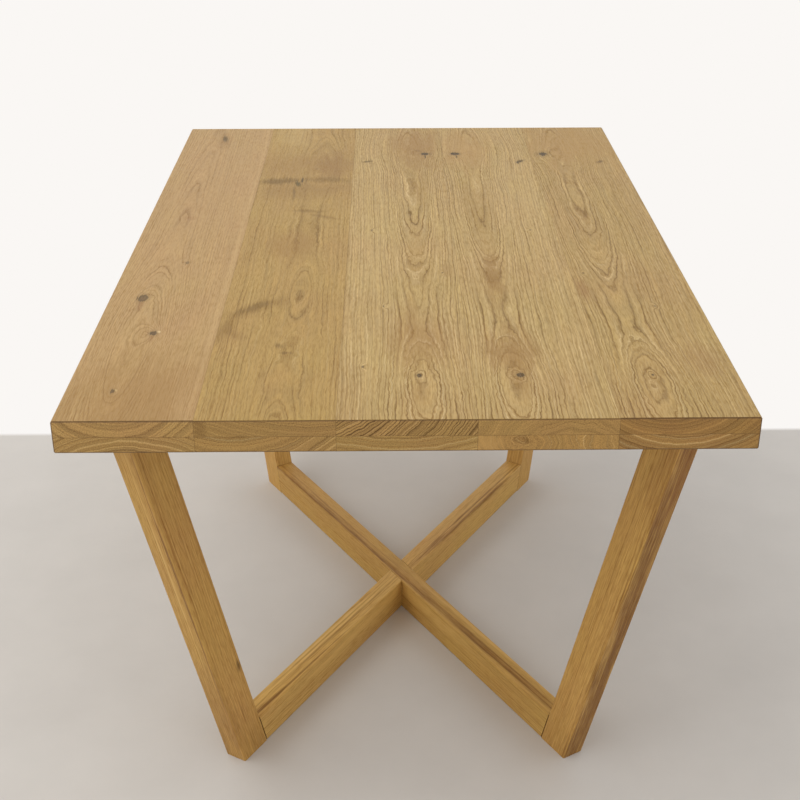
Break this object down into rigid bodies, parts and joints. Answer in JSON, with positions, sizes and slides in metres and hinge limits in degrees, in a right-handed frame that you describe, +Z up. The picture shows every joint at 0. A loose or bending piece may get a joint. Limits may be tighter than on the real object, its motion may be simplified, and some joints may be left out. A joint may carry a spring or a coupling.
{
  "type": "dining table",
  "caption": "Rectangular oak dining table on a crossed base: slanting legs joined corner to corner by half-lapped floor rails and top rails.",
  "frame": {"origin": "on the floor under the middle of the tabletop", "axes": "+X across the boards of the top to the right, +Y along the boards to the back, +Z up"},
  "size_m": [0.9, 1.4, 0.75],
  "materials": {
    "oiled_oak_top": "oiled, satin",
    "oiled_oak_base": "oiled, satin",
    "beech_tenons": "planed, unfinished",
    "zinc_plated_steel": "bright zinc plating"
  },
  "bodies": {
    "root": {"top_board_1": "oiled_oak_top", "top_board_2": "oiled_oak_top", "top_board_3": "oiled_oak_top", "top_board_4": "oiled_oak_top", "top_board_5": "oiled_oak_top", "under_board_1": "oiled_oak_top", "under_board_2": "oiled_oak_top", "under_board_3": "oiled_oak_top", "under_board_4": "oiled_oak_top", "under_board_5": "oiled_oak_top", "leg_back_right": "oiled_oak_base", "leg_back_left": "oiled_oak_base", "leg_front_left": "oiled_oak_base", "leg_front_right": "oiled_oak_base", "floor_rail_over": "oiled_oak_base", "floor_rail_under": "oiled_oak_base", "top_rail_over": "oiled_oak_base", "top_rail_under": "oiled_oak_base", "floor_rail_tenons": "beech_tenons", "top_rail_tenons": "beech_tenons", "top_fixing_bolts": "zinc_plated_steel", "bolt_washers": "zinc_plated_steel", "threaded_inserts": "zinc_plated_steel", "lap_screws": "zinc_plated_steel"}
  },
  "joints": []
}
